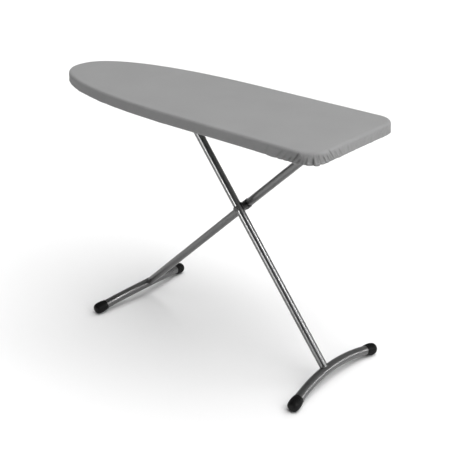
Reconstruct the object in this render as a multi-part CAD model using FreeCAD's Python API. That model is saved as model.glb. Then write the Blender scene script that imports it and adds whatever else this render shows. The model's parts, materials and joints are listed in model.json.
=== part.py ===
import FreeCAD, Part

import math
import os

# A free-standing folding ironing board.
# Millimetres. X runs along the board, from the rounded nose (-X) to the square heel (+X).
# Y runs across the board, Z is up, and the origin is on the floor under the middle of the board.

# ---- Board ----
board_length = 1240.0
board_width = 434.0
ironing_height = 870.0
nose_length = 697.0           # the stretch over which the sides taper to the nose
nose_fullness = 2.29          # exponent of the taper's superellipse
nose_points = 13              # points on each half of the taper's curve
heel_corner_radius = 63.0
cover_thickness = 1.2
skirt_height = 37.0
hem_width = 18.0              # the part of the cover that turns in under the rim
pad_thickness = 6.0
deck_thickness = 1.0
cloth_gap = 0.3               # air between the skirt and what it hangs over
elastic_width = 5.0
elastic_thickness = 1.0
rim_wall = 1.5
rim_flange = 19.0
mesh_hole_radius = 6.5
mesh_pitch = 30.0
mesh_margin = 24.0            # solid band round the edge of the deck

# ---- Cross braces under the deck ----
brace_height = 8.0
brace_width = 26.0
brace_wall = 1.2
nose_brace_inset = 140.0      # of the brace nearest the nose, from the nose
rail_brace_inset = 40.0       # of the brace under each end of the slide rail, from that end
side_gap = 0.3                # air between a brace's end and the rim's wall

# ---- Rails and pins ----
pivot_drop = 36.0             # of both top pivots below the ironing surface
heel_pivot_inset = 116.0      # of the heel pin from the heel
top_spacing = 577.0           # from the slide rod to the heel pin when the board is open
rail_clearance = 7.0          # between a leg's tube and the rail's wall
rail_wall = 1.5
rail_end_margin = 16.0
rail_below_slot = 9.0
lever_end_of_rail = 12.0      # the rail's end beyond the lever's pin, towards the heel
bracket_length = 60.0
bracket_below_pin = 14.0
pin_radius = 5.0
running_gap = 0.05
slot_gap = 0.4
notch_depth = 2.5
notch_spacing = 42.0
notch_count = 5
slot_points = 13
rivet_radius = 2.5
rivet_head_radius = 5.0
rivet_head_height = 1.6
rivet_offset = 30.0           # of the rivets from the rail's middle

# ---- Legs ----
tube_radius = 14.0
tube_wall = 1.2
leg_offset = 23.0             # of each leg from the board's middle, one on each side
sliding_leg_slope = 51.1      # degrees to the floor, of the leg with the sliding top
pivot_leg_slope = 43.7        # degrees to the floor, of the leg pinned at the heel
folded_gap = 2.5              # between the pinned leg and the slide rod's spacer when the board is folded
sleeve_wall = 4.0
spacer_wall = 2.5
spacer_gap = 0.3
cap_overhang = 5.0
rod_cap_radius = 8.0
rod_cap_length = 5.0
pin_head_radius = 8.0
pin_head_height = 3.0

# ---- Crossing ----
bolt_radius = 4.0
bolt_head_radius = 8.5
bolt_head_height = 3.5
washer_radius = 10.0
washer_thickness = 1.2
nut_radius = 7.5
nut_height = 6.5
saddle_radius = 13.0
saddle_gap = 0.35
saddle_cheek = 2.0            # wall of the part that wraps the inner half of the tube

# ---- Feet ----
foot_tube_radius = 16.5
sliding_foot_span = 477.0     # tip to tip, caps included
pivot_foot_span = 470.0
foot_rise = 37.0              # of the foot's crown above its tips, along the leg
foot_straight_end = 48.0
cap_wall = 4.0
cap_length = 50.0
cap_end_wall = 9.0
cap_dome = 13.0
cap_rib_count = 5
cap_rib_depth = 1.4
tread_depth = 1.0

# ---- Release lever ----
lever_pin_spacing = 58.0      # from the slide rod to the lever's pin when the board is open
lever_pin_radius = 3.0
lever_thickness = 3.0
lever_washer_thickness = 2.0
lever_boss_radius = 10.0
keeper_gap = 0.6              # air between the rod and the lever's keeper
keeper_depth = 12.0
lever_arm = 90.0              # from the pin to the grip's bar
lever_bar_radius = 4.0
lever_bar_drop = 4.0          # of the grip's bar below the lever's pin
grip_radius = 10.0
grip_length = 75.0
grip_end_wall = 5.0
grip_inset = 32.0             # of the grip's end from the board's edge
spring_wire_radius = 0.7
spring_turns = 4
spring_gap = 1.2              # air between the coil and the lever's pin
spring_turn_gap = 0.3
spring_tail = 16.0
clip_thickness = 1.2
clip_radius = 6.0

# ---- Worked out from the sizes above ----
half_length = board_length / 2
half_width = board_width / 2
pad_top = ironing_height - cover_thickness
deck_top = pad_top - pad_thickness
deck_base = deck_top - deck_thickness
skirt_base = ironing_height - skirt_height
hem_top = skirt_base + cover_thickness
rim_base = hem_top + elastic_thickness + cloth_gap
pad_inset = cover_thickness + cloth_gap
rim_inner_inset = pad_inset + rim_wall
elastic_inset = cover_thickness + hem_width - elastic_width - cloth_gap
brace_base = deck_base - brace_height
pivot_height = ironing_height - pivot_drop
heel_pivot_place = half_length - heel_pivot_inset
slide_rod_place = heel_pivot_place - top_spacing
lever_pin_place = slide_rod_place + lever_pin_spacing
rail_half_width = leg_offset + tube_radius + rail_clearance
cap_radius = foot_tube_radius + cap_wall
rail_top = brace_base
web_base = rail_top - rail_wall
rail_outer = rail_half_width + rail_wall
sliding_slope = math.radians(sliding_leg_slope)
pivot_slope = math.radians(pivot_leg_slope)
crossing_drop = top_spacing / (1 / math.tan(sliding_slope) + 1 / math.tan(pivot_slope))
crossing_place = heel_pivot_place - crossing_drop / math.tan(pivot_slope)
crossing_height = pivot_height - crossing_drop
sliding_arm = crossing_drop / math.sin(sliding_slope)
pivot_arm = crossing_drop / math.sin(pivot_slope)
folded = math.asin((tube_radius + pin_radius + spacer_wall + folded_gap) / (pivot_arm + sliding_arm))
sliding_folded = math.asin(pivot_arm * math.sin(folded) / sliding_arm)
fold_turn = pivot_slope - folded
fold_ratio = (sliding_slope - sliding_folded) / fold_turn
leg_wall_gap = 2 * (leg_offset - tube_radius)

X_AXIS = FreeCAD.Vector(1, 0, 0)
Y_AXIS = FreeCAD.Vector(0, 1, 0)
Z_AXIS = FreeCAD.Vector(0, 0, 1)
NEAR = -1
FAR = 1


def point(x, y, z):
    return FreeCAD.Vector(x, y, z)


def cylinder(base, axis, radius, length):
    return Part.makeCylinder(radius, length, base, axis)


def pipe(base, axis, outer_radius, inner_radius, length):
    return cylinder(base, axis, outer_radius, length).cut(cylinder(base, axis, inner_radius, length))


def box(low, high):
    size = high - low
    return Part.makeBox(size.x, size.y, size.z, low)


def plate_in_xz(corners, y_low, thickness):
    wire = Part.makePolygon([point(x, y_low, z) for x, z in corners + corners[:1]])
    return Part.Face(wire).extrude(Y_AXIS * thickness)


# ---- Outline of the board ----


def nose_point(turn, inset):
    """A point on the taper, moved inwards by the inset. turn runs from 0 at the tip to a right angle."""
    along = 1 - math.cos(turn) ** (2 / nose_fullness)
    across = math.sin(turn) ** (2 / nose_fullness)
    slope_along = (1 - along) ** (nose_fullness - 1) / nose_length
    slope_across = across ** (nose_fullness - 1) / half_width
    steepness = math.hypot(slope_along, slope_across)
    x = -half_length + nose_length * along + inset * slope_along / steepness
    y = half_width * across - inset * slope_across / steepness
    return x, y


def nose_turns():
    return [math.pi / 2 * i / (nose_points - 1) for i in range(nose_points)]


def outline(inset, z):
    """The board's closed outline at height z, a set distance inside its edge."""
    upper = [nose_point(turn, inset) for turn in nose_turns()]
    lower = [(x, -y) for x, y in upper]
    nose = [point(x, y, z) for x, y in lower[:0:-1] + upper]
    curve = Part.BSplineCurve()
    curve.interpolate(Points=nose, InitialTangent=-X_AXIS, FinalTangent=X_AXIS)
    radius = heel_corner_radius - inset
    corner_x = half_length - heel_corner_radius
    corner_y = half_width - heel_corner_radius
    diagonal = radius * math.sqrt(0.5)
    side_y = corner_y + radius
    end_x = corner_x + radius
    taper_end = nose[0].x
    far_corner = Part.Arc(
        point(corner_x, side_y, z),
        point(corner_x + diagonal, corner_y + diagonal, z),
        point(end_x, corner_y, z),
    )
    near_corner = Part.Arc(
        point(end_x, -corner_y, z),
        point(corner_x + diagonal, -corner_y - diagonal, z),
        point(corner_x, -side_y, z),
    )
    return Part.Wire([
        curve.toShape(),
        Part.makeLine(point(taper_end, side_y, z), point(corner_x, side_y, z)),
        far_corner.toShape(),
        Part.makeLine(point(end_x, corner_y, z), point(end_x, -corner_y, z)),
        near_corner.toShape(),
        Part.makeLine(point(corner_x, -side_y, z), point(taper_end, -side_y, z)),
    ])


def slab(inset, z_low, z_high):
    return Part.Face(outline(inset, z_low)).extrude(Z_AXIS * (z_high - z_low))


def band(outer_inset, inner_inset, z_low, z_high):
    return slab(outer_inset, z_low, z_high).cut(slab(inner_inset, z_low, z_high))


def width_at(x):
    """Half the board's width at a place along it, in the taper and beyond."""
    remaining = max(0.0, 1 - (x + half_length) / nose_length)
    return half_width * max(0.0, 1 - remaining**nose_fullness) ** (1 / nose_fullness)


# ---- Deck, pad and cover ----


def make_cover():
    top = slab(0, pad_top, ironing_height)
    skirt = band(0, cover_thickness, hem_top, pad_top)
    hem = band(0, cover_thickness + hem_width, skirt_base, hem_top)
    return top.fuse([skirt, hem]).removeSplitter()


def make_hem_elastic():
    return band(elastic_inset, elastic_inset + elastic_width, hem_top, hem_top + elastic_thickness)


def make_pad():
    return slab(pad_inset, deck_top, pad_top)


def mesh_hole_places():
    """Rows of holes, every second row shifted by half a pitch, kept off the deck's edge."""
    row_step = mesh_pitch * math.sqrt(0.75)
    rows = int(half_width / row_step)
    columns = int(half_length / mesh_pitch)
    places = []
    for row in range(-rows, rows + 1):
        shift = mesh_pitch / 2 if row % 2 else 0.0
        for column in range(-columns, columns + 1):
            x = column * mesh_pitch + shift
            y = row * row_step
            narrowest = min(width_at(x - mesh_margin), half_width)
            if abs(y) + mesh_margin < narrowest and x + mesh_margin < half_length:
                places.append((x, y))
    return places


def make_perforated_deck():
    holes = [
        Part.Wire(Part.makeCircle(mesh_hole_radius, point(x, y, deck_base)))
        for x, y in mesh_hole_places()
    ]
    face = Part.makeFace([outline(pad_inset, deck_base)] + holes, "Part::FaceMakerBullseye")
    return face.extrude(Z_AXIS * deck_thickness)


def make_rim_frame():
    wall = band(pad_inset, rim_inner_inset, rim_base, deck_base)
    flange = band(pad_inset, pad_inset + rim_flange, rim_base, rim_base + rim_wall)
    return wall.fuse(flange).removeSplitter()


def make_cross_brace(x):
    """An open-topped channel that runs from one side of the rim to the other."""
    low = point(x - brace_width / 2, -half_width, brace_base)
    high = point(x + brace_width / 2, half_width, deck_base)
    wall = point(brace_wall, 0, brace_wall)
    hollow_low = low + wall
    hollow_high = point(high.x - brace_wall, half_width, deck_base)
    channel = box(low, high).cut([box(hollow_low, hollow_high), rivet_holes()])
    return channel.common(slab(rim_inner_inset + side_gap, brace_base, deck_base))


# ---- Slide rail, heel bracket and their rivets ----


def rod_place(share):
    """Where the slide rod is when a share of the fold is done. The two legs turn at a fixed ratio."""
    pivot_angle = pivot_slope - share * fold_turn
    sliding_angle = sliding_slope - share * fold_turn * fold_ratio
    x = heel_pivot_place - pivot_arm * math.cos(pivot_angle) - sliding_arm * math.cos(sliding_angle)
    z = pivot_height - pivot_arm * math.sin(pivot_angle) + sliding_arm * math.sin(sliding_angle)
    return x, z


def rod_path():
    return [rod_place(i / (slot_points - 1)) for i in range(slot_points)]


def notch_places():
    """Where the rod rests at each height, spaced along the slot from its heel end."""
    return [slide_rod_place - i * notch_spacing for i in range(notch_count)]


def path_height(x):
    path = rod_path()
    for (x_heel, z_heel), (x_nose, z_nose) in zip(path, path[1:]):
        if x_nose <= x <= x_heel:
            return z_heel + (z_nose - z_heel) * (x - x_heel) / (x_nose - x_heel)
    return path[0][1]


def slot_cutter():
    """The slot that follows the rod, round at both ends, with height notches in its upper edge."""
    radius = pin_radius + slot_gap
    path = rod_path()
    depth = 2 * rail_outer
    upper = [(x, z + radius) for x, z in path]
    lower = [(x, z - radius) for x, z in path]
    cutters = [plate_in_xz(upper + lower[::-1], -rail_outer, depth)]
    for x, z in (path[0], path[-1]):
        cutters.append(cylinder(point(x, -rail_outer, z), Y_AXIS, radius, depth))
    for x in notch_places():
        cutters.append(cylinder(point(x, -rail_outer, path_height(x) + notch_depth), Y_AXIS, radius, depth))
    return cutters[0].fuse(cutters[1:]).removeSplitter()


def inverted_channel(x_low, x_high, z_low):
    outer = box(point(x_low, -rail_outer, z_low), point(x_high, rail_outer, rail_top))
    inner = box(point(x_low, -rail_half_width, z_low), point(x_high, rail_half_width, web_base))
    return outer.cut(inner)


def rail_ends():
    return rod_path()[-1][0] - rail_end_margin, lever_pin_place + lever_end_of_rail


def carrying_places():
    """The braces that the slide rail and the heel bracket are riveted to."""
    nose_end, heel_end = rail_ends()
    return nose_end + rail_brace_inset, heel_end - rail_brace_inset, heel_pivot_place


def brace_places():
    """Every brace from the nose to the heel, one of them midway between the rail and the bracket."""
    rail_nose, rail_heel, bracket = carrying_places()
    return -half_length + nose_brace_inset, rail_nose, rail_heel, (rail_heel + bracket) / 2, bracket


def rivet_places():
    """The rivets that hold the rail and the heel bracket to the braces, as x and y."""
    return [(x, side * rivet_offset) for x in carrying_places() for side in (NEAR, FAR)]


def rivet_holes():
    top = brace_base + brace_wall
    shanks = [
        cylinder(point(x, y, web_base), Z_AXIS, rivet_radius, top - web_base)
        for x, y in rivet_places()
    ]
    return Part.makeCompound(shanks)


def make_slide_rail():
    x_low, x_high = rail_ends()
    z_low = pivot_height - pin_radius - slot_gap - rail_below_slot
    lever_hole = cylinder(
        point(lever_pin_place, -rail_outer, pivot_height), Y_AXIS, lever_pin_radius + running_gap, rail_wall
    )
    return inverted_channel(x_low, x_high, z_low).cut([slot_cutter(), lever_hole, rivet_holes()])


def make_heel_bracket():
    x_low = heel_pivot_place - bracket_length / 2
    x_high = heel_pivot_place + bracket_length / 2
    z_low = pivot_height - bracket_below_pin
    pin_hole = cylinder(point(heel_pivot_place, -rail_outer, pivot_height), Y_AXIS, pin_radius, 2 * rail_outer)
    return inverted_channel(x_low, x_high, z_low).cut([pin_hole, rivet_holes()])


def make_rail_rivets():
    """Flush above the brace's web inside, with a round head below the rail."""
    rivets = []
    top = brace_base + brace_wall
    for x, y in rivet_places():
        shank = cylinder(point(x, y, web_base), Z_AXIS, rivet_radius, top - web_base)
        upper_head = cylinder(point(x, y, top), Z_AXIS, rivet_head_radius, rivet_head_height)
        lower_head = cylinder(
            point(x, y, web_base - rivet_head_height), Z_AXIS, rivet_head_radius, rivet_head_height
        )
        rivets.append(shank.fuse([upper_head, lower_head]))
    return Part.makeCompound(rivets)


def make_heel_pin():
    """A headed pin, held by the bracket, that the pinned leg turns on."""
    start = point(heel_pivot_place, -rail_outer, pivot_height)
    shaft = cylinder(start, Y_AXIS, pin_radius, 2 * rail_outer + cap_overhang)
    head = cylinder(start - Y_AXIS * pin_head_height, Y_AXIS, pin_head_radius, pin_head_height)
    return shaft.fuse(head)


def make_heel_pin_clip():
    base = point(heel_pivot_place, rail_outer, pivot_height)
    return pipe(base, Y_AXIS, pin_head_radius, pin_radius, clip_thickness)


# ---- Legs ----


class Leg:
    """One leg with its foot: where it starts, its direction, and where the foot's arch lies."""

    def __init__(self, top_x, y, slope, direction_x, foot_span):
        self.top = point(top_x, y, pivot_height)
        self.y = y
        self.down = point(direction_x * math.cos(slope), 0, -math.sin(slope))
        half_turn = math.atan(foot_rise / (foot_span / 2 + foot_straight_end))
        self.foot_turn = 2 * half_turn
        sine = math.sin(self.foot_turn)
        self.arch_radius = (foot_rise - foot_straight_end * sine) / (1 - math.cos(self.foot_turn))
        tip_slope = sine * math.sin(slope)
        level = math.sqrt(1 - tip_slope**2)
        tip_height = cap_radius * level - cap_dome * tip_slope - tread_depth
        length = (pivot_height - tip_height) / math.sin(slope)
        self.crown_distance = length - foot_rise
        self.crown = point(self.top.x, 0, self.top.z) + self.down * self.crown_distance
        self.arch_centre = self.crown + self.down * self.arch_radius

    def tip_direction(self, side):
        """Outwards along the foot's straight end."""
        return Y_AXIS * (side * math.cos(self.foot_turn)) + self.down * math.sin(self.foot_turn)

    def arch_end(self, side):
        across = Y_AXIS * (side * math.sin(self.foot_turn))
        return self.arch_centre + (across - self.down * math.cos(self.foot_turn)) * self.arch_radius

    def cap_start(self, side):
        """The middle of the cap's open mouth."""
        return self.arch_end(side) + self.tip_direction(side) * (foot_straight_end - cap_length)


sliding_leg = Leg(slide_rod_place, -leg_offset, sliding_slope, 1, sliding_foot_span)
pivot_leg = Leg(heel_pivot_place, leg_offset, pivot_slope, -1, pivot_foot_span)


def foot_bar(leg, radius):
    """A solid bar along the foot: a straight end, the arch and the other straight end."""
    straight = foot_straight_end - cap_end_wall
    start = leg.arch_end(NEAR)
    section = Part.Face(Part.Wire(Part.makeCircle(radius, start, leg.tip_direction(NEAR))))
    turn = math.degrees(2 * leg.foot_turn)
    arch = section.revolve(leg.arch_centre, Y_AXIS.cross(leg.down), turn)
    ends = [cylinder(leg.arch_end(side), leg.tip_direction(side), radius, straight) for side in (NEAR, FAR)]
    return arch.fuse(ends).removeSplitter()


def make_foot_tube(leg):
    return foot_bar(leg, foot_tube_radius).cut(foot_bar(leg, foot_tube_radius - tube_wall))


def cap_profile():
    """Half of the cap's section: radius against distance from its mouth, ribs and dome included."""
    body = cap_length - cap_dome
    pitch = body / cap_rib_count
    groove = pitch / 4
    profile = [(0, 0), (cap_radius - cap_rib_depth, 0)]
    for rib in range(cap_rib_count):
        start = rib * pitch + groove
        profile += [(cap_radius - cap_rib_depth, start), (cap_radius, start + groove / 2)]
        profile += [(cap_radius, (rib + 1) * pitch - groove / 2)]
        if rib < cap_rib_count - 1:
            profile += [(cap_radius - cap_rib_depth, (rib + 1) * pitch)]
    return profile


def make_foot_cap(leg, side):
    """A ribbed rubber cap with a domed end, bored for the foot's tube and worn flat on the floor."""
    profile = cap_profile()
    body = cap_length - cap_dome
    shoulder = point(cap_radius, 0, body)
    flat_end = cap_radius / 2
    knee = point(flat_end + (cap_radius - flat_end) * math.sqrt(0.5), 0, body + cap_dome * math.sqrt(0.5))
    dome_end = point(flat_end, 0, cap_length)
    corners = [point(r, 0, z) for r, z in profile] + [shoulder]
    edges = Part.makePolygon(corners).Edges
    edges.append(Part.Arc(shoulder, knee, dome_end).toShape())
    edges.append(Part.makeLine(dome_end, point(0, 0, cap_length)))
    edges.append(Part.makeLine(point(0, 0, cap_length), point(0, 0, 0)))
    cap = Part.Face(Part.Wire(edges)).revolve(point(0, 0, 0), Z_AXIS, 360)
    cap = cap.cut(cylinder(point(0, 0, 0), Z_AXIS, foot_tube_radius, cap_length - cap_end_wall))
    direction = leg.tip_direction(side)
    cap.Placement = FreeCAD.Placement(leg.cap_start(side), FreeCAD.Rotation(Z_AXIS, direction))
    start = leg.cap_start(side)
    reach = cap_length + cap_radius
    below = box(point(start.x - reach, start.y - reach, -reach), point(start.x + reach, start.y + reach, 0))
    return cap.cut(below)


def crossing_point(y):
    return point(crossing_place, y, crossing_height)


def make_leg_tube(leg):
    """A tube from its top sleeve to the crown of its foot, drilled across for the centre bolt."""
    length = leg.crown_distance
    foot = foot_bar(leg, foot_tube_radius)
    sleeve = cylinder(
        leg.top - Y_AXIS * (2 * tube_radius), Y_AXIS, pin_radius + running_gap + sleeve_wall, 4 * tube_radius
    )
    tube = pipe(leg.top, leg.down, tube_radius, tube_radius - tube_wall, length)
    bolt = cylinder(crossing_point(leg.y - 2 * tube_radius), Y_AXIS, bolt_radius + running_gap, 4 * tube_radius)
    return tube.cut([foot, sleeve, bolt])


def make_top_sleeve(leg, bore_radius):
    """The cross sleeve at the top of a leg, as wide as its tube."""
    base = leg.top - Y_AXIS * tube_radius
    return pipe(base, Y_AXIS, pin_radius + running_gap + sleeve_wall, bore_radius, 2 * tube_radius)


def make_pin_spacer(x, y_low, y_high, bore_radius):
    base = point(x, y_low, pivot_height)
    return pipe(base, Y_AXIS, pin_radius + spacer_wall, bore_radius, y_high - y_low)


def make_slide_rod():
    start = point(slide_rod_place, -rod_half_length(), pivot_height)
    return cylinder(start, Y_AXIS, pin_radius, 2 * rod_half_length())


def lever_plate_y():
    """The side of the lever's plate that faces away from the rail."""
    return -rail_outer - lever_washer_thickness - lever_thickness


def rod_half_length():
    return rail_outer + lever_washer_thickness + lever_thickness + spacer_gap + rod_cap_length


def make_rod_cap(side):
    """A pushed-on cap, clear of the lever's plate, that keeps the rod in its slots."""
    end = point(slide_rod_place, side * rod_half_length(), pivot_height)
    return pipe(end, Y_AXIS * -side, rod_cap_radius, pin_radius, rod_cap_length)


# ---- Crossing ----


def make_saddle(leg, inner_side):
    """A saddle that wraps the inner half of one leg's tube and meets its twin between the legs."""
    thickness = leg_wall_gap / 2 - saddle_gap / 2
    start = crossing_point(inner_side * saddle_gap / 2)
    reach = thickness + tube_radius / 2
    disc = cylinder(start, Y_AXIS * inner_side, saddle_radius, reach)
    middle = crossing_point(leg.y)
    sleeve = cylinder(middle - leg.down * saddle_radius, leg.down, tube_radius + saddle_cheek, 2 * saddle_radius)
    side = 2 * saddle_radius + 2 * tube_radius
    inner_half = Part.makeBox(2 * side, leg_offset, 2 * side)
    inner_half.translate(point(middle.x - side, min(leg.y, 0), middle.z - side))
    seat = cylinder(leg.top, leg.down, tube_radius, leg.crown_distance)
    bore = cylinder(start, Y_AXIS * inner_side, bolt_radius + running_gap, reach)
    return disc.fuse(sleeve.common(inner_half)).removeSplitter().cut([seat, bore])


def make_outer_saddle(leg, outer_side):
    """A saddle washer on the outside of a leg's tube, flat where the bolt's head or nut bears."""
    face = outer_side * (leg_offset + tube_radius + washer_thickness)
    reach = washer_thickness + tube_radius / 2
    start = crossing_point(face)
    disc = cylinder(start, Y_AXIS * -outer_side, washer_radius, reach)
    seat = cylinder(leg.top, leg.down, tube_radius, leg.crown_distance)
    bore = cylinder(start, Y_AXIS * -outer_side, bolt_radius + running_gap, reach)
    return disc.cut([seat, bore])


def bolt_face():
    return leg_offset + tube_radius + washer_thickness


def make_centre_bolt():
    """A bolt with a low round head, through both legs and their saddles."""
    head_face = -bolt_face() - spacer_gap
    shank_length = -head_face + bolt_face() + nut_height - 1
    shank = cylinder(crossing_point(head_face), Y_AXIS, bolt_radius, shank_length)
    head = cylinder(crossing_point(head_face), -Y_AXIS, bolt_head_radius, bolt_head_height)
    outer_edge = min(round_edges(head), key=lambda edge: edge.CenterOfMass.y)
    return shank.fuse(head.makeFillet(bolt_head_height / 2, [outer_edge]))


def round_edges(shape):
    return [edge for edge in shape.Edges if edge.Curve.TypeId == "Part::GeomCircle"]


def make_lock_nut():
    corners = [
        crossing_point(bolt_face()) + point(math.cos(turn), 0, math.sin(turn)) * nut_radius
        for turn in (math.radians(60 * i) for i in range(7))
    ]
    body = Part.Face(Part.makePolygon(corners)).extrude(Y_AXIS * nut_height)
    return body.cut(cylinder(crossing_point(bolt_face()), Y_AXIS, bolt_radius, nut_height - 1))


# ---- Release lever ----


def make_lever_plate():
    """A flat lever: a keeper under the slide rod on one side of its pin, an arm on the other."""
    top = pivot_height - pin_radius - keeper_gap
    keeper_end = notch_places()[-1] - notch_spacing / 3
    keeper_start = lever_pin_place - 2 * lever_boss_radius
    y = lever_plate_y()
    keeper = plate_in_xz(
        [
            (keeper_end, top),
            (keeper_start, top),
            (lever_pin_place, pivot_height + lever_boss_radius / 2),
            (lever_pin_place, pivot_height - lever_boss_radius),
            (keeper_start, top - keeper_depth),
            (keeper_end + keeper_depth, top - keeper_depth),
            (keeper_end, top - keeper_depth / 2),
        ],
        y,
        lever_thickness,
    )
    bar_z = pivot_height - lever_bar_drop
    arm_end = lever_pin_place + lever_arm
    arm = plate_in_xz(
        [
            (lever_pin_place, pivot_height + lever_boss_radius / 2),
            (arm_end, bar_z + lever_bar_radius * 1.5),
            (arm_end, bar_z - lever_bar_radius * 1.5),
            (lever_pin_place, pivot_height - lever_boss_radius),
        ],
        y,
        lever_thickness,
    )
    boss = cylinder(point(lever_pin_place, y, pivot_height), Y_AXIS, lever_boss_radius, lever_thickness)
    arm_boss = cylinder(point(arm_end, y, bar_z), Y_AXIS, lever_bar_radius * 1.5, lever_thickness)
    pin_hole = cylinder(
        point(lever_pin_place, y, pivot_height), Y_AXIS, lever_pin_radius + running_gap, lever_thickness
    )
    bar_hole = cylinder(point(arm_end, y, bar_z), Y_AXIS, lever_bar_radius, lever_thickness)
    return keeper.fuse([arm, boss, arm_boss]).removeSplitter().cut([pin_hole, bar_hole])


def grip_end_y():
    return -half_width + grip_inset


def lever_bar_point(y):
    return point(lever_pin_place + lever_arm, y, pivot_height - lever_bar_drop)


def make_lever_bar():
    """A round bar from the lever's plate out to the grip near the board's edge."""
    start = grip_end_y() + grip_end_wall
    end = lever_plate_y() + lever_thickness
    return cylinder(lever_bar_point(start), Y_AXIS, lever_bar_radius, end - start)


def make_lever_grip():
    outer = cylinder(lever_bar_point(grip_end_y()), Y_AXIS, grip_radius, grip_length)
    rounded = outer.makeFillet(grip_radius / 4, round_edges(outer))
    bore = cylinder(
        lever_bar_point(grip_end_y() + grip_end_wall), Y_AXIS, lever_bar_radius, grip_length
    )
    return rounded.cut(bore)


def lever_pin_point(y):
    return point(lever_pin_place, y, pivot_height)


def spring_radius():
    return lever_pin_radius + spring_gap


def spring_pitch():
    return 2 * spring_wire_radius + spring_turn_gap


def spring_length():
    return spring_turns * spring_pitch()


def make_lever_pin():
    """A headed pin through the rail's wall, the washer and the lever, with room for the spring."""
    head_y = -rail_half_width
    length = rail_wall + lever_washer_thickness + lever_thickness
    length += spring_length() + 4 * spring_wire_radius + 2 * clip_thickness
    shaft = cylinder(lever_pin_point(head_y - length), Y_AXIS, lever_pin_radius, length)
    head = cylinder(lever_pin_point(head_y), Y_AXIS, 2 * lever_pin_radius, clip_thickness)
    return shaft.fuse(head)


def make_lever_washer():
    base = lever_pin_point(-rail_outer - lever_washer_thickness)
    return pipe(
        base, Y_AXIS, lever_boss_radius - 2, lever_pin_radius + running_gap, lever_washer_thickness - spacer_gap
    )


def make_lever_clip():
    y = lever_plate_y() - spring_length() - 4 * spring_wire_radius - clip_thickness
    return pipe(lever_pin_point(y), Y_AXIS, clip_radius, lever_pin_radius, clip_thickness)


def make_lever_spring():
    """A coil round the lever's pin whose two straight tails leave along the lever and the rail."""
    height = spring_length()
    radius = spring_radius() + spring_wire_radius
    first = point(radius, -spring_tail, 0)
    last = point(radius, spring_tail, height)
    path = [Part.makeLine(first, point(radius, 0, 0))]
    path += Part.makeHelix(spring_pitch(), height, radius).Edges
    path.append(Part.makeLine(point(radius, 0, height), last))
    section = Part.Wire(Part.makeCircle(spring_wire_radius, first, Y_AXIS))
    spring = Part.Wire(path).makePipeShell([section], True, True)
    start = lever_pin_point(lever_plate_y() - 2 * spring_wire_radius)
    spring.Placement = FreeCAD.Placement(start, FreeCAD.Rotation(-Z_AXIS, X_AXIS, -Y_AXIS, "ZYX"))
    return spring


# ---- The whole board ----


def board_pieces():
    pieces = {
        "cover": make_cover(),
        "hem_elastic": make_hem_elastic(),
        "pad": make_pad(),
        "perforated_deck": make_perforated_deck(),
        "rim_frame": make_rim_frame(),
        "slide_rail": make_slide_rail(),
        "heel_bracket": make_heel_bracket(),
        "rail_rivets": make_rail_rivets(),
        "heel_pin": make_heel_pin(),
        "heel_pin_clip": make_heel_pin_clip(),
    }
    for number, x in enumerate(brace_places(), start=1):
        pieces[f"cross_brace_{number}"] = make_cross_brace(x)
    return pieces


def spacer_pieces():
    """The spacer tubes that hold each leg in its place across the rail."""
    outer_wall = rail_half_width - spacer_gap
    leg_outside = leg_offset + tube_radius + spacer_gap
    leg_inside = leg_offset - tube_radius - spacer_gap
    free = pin_radius + running_gap
    return {
        "rod_spacer_short": make_pin_spacer(slide_rod_place, -outer_wall, -leg_outside, pin_radius),
        "rod_spacer_long": make_pin_spacer(slide_rod_place, -leg_inside, outer_wall, pin_radius),
        "heel_spacer_short": make_pin_spacer(heel_pivot_place, leg_outside, outer_wall, free),
        "heel_spacer_long": make_pin_spacer(heel_pivot_place, -outer_wall, leg_inside, free),
    }


def leg_pieces():
    pieces = {
        "sliding_leg_tube": make_leg_tube(sliding_leg),
        "sliding_leg_sleeve": make_top_sleeve(sliding_leg, pin_radius),
        "pivot_leg_tube": make_leg_tube(pivot_leg),
        "pivot_leg_sleeve": make_top_sleeve(pivot_leg, pin_radius + running_gap),
        "slide_rod": make_slide_rod(),
        "heel_foot_tube": make_foot_tube(sliding_leg),
        "nose_foot_tube": make_foot_tube(pivot_leg),
        "centre_bolt": make_centre_bolt(),
        "lock_nut": make_lock_nut(),
        "sliding_leg_inner_saddle": make_saddle(sliding_leg, NEAR),
        "pivot_leg_inner_saddle": make_saddle(pivot_leg, FAR),
        "sliding_leg_outer_saddle": make_outer_saddle(sliding_leg, NEAR),
        "pivot_leg_outer_saddle": make_outer_saddle(pivot_leg, FAR),
    }
    for side, word in ((NEAR, "near"), (FAR, "far")):
        pieces[f"rod_cap_{word}"] = make_rod_cap(side)
        pieces[f"heel_foot_cap_{word}"] = make_foot_cap(sliding_leg, side)
        pieces[f"nose_foot_cap_{word}"] = make_foot_cap(pivot_leg, side)
    return pieces


def lever_pieces():
    return {
        "lever_plate": make_lever_plate(),
        "lever_bar": make_lever_bar(),
        "lever_grip": make_lever_grip(),
        "lever_pin": make_lever_pin(),
        "lever_washer": make_lever_washer(),
        "lever_clip": make_lever_clip(),
        "lever_spring": make_lever_spring(),
    }


def main():
    os.makedirs("parts", exist_ok=True)
    pieces = {**board_pieces(), **spacer_pieces(), **leg_pieces(), **lever_pieces()}
    for name, shape in pieces.items():
        shape.exportStep(f"parts/{name}.step")
        print(f"{name}: {shape.ShapeType}, {len(shape.Solids)} solid, {shape.Volume:.0f} mm3, valid {shape.isValid()}")
    print(f"heel pivot {heel_pivot_place:.3f}, {pivot_height:.3f}")
    print(f"crossing {crossing_place:.3f}, {crossing_height:.3f}")
    print(f"fold turn {math.degrees(fold_turn):.3f} degrees, ratio between the legs {fold_ratio:.5f}")
    print(f"slide rod from {rod_path()[0]} to {rod_path()[-1]}")


main()
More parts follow.
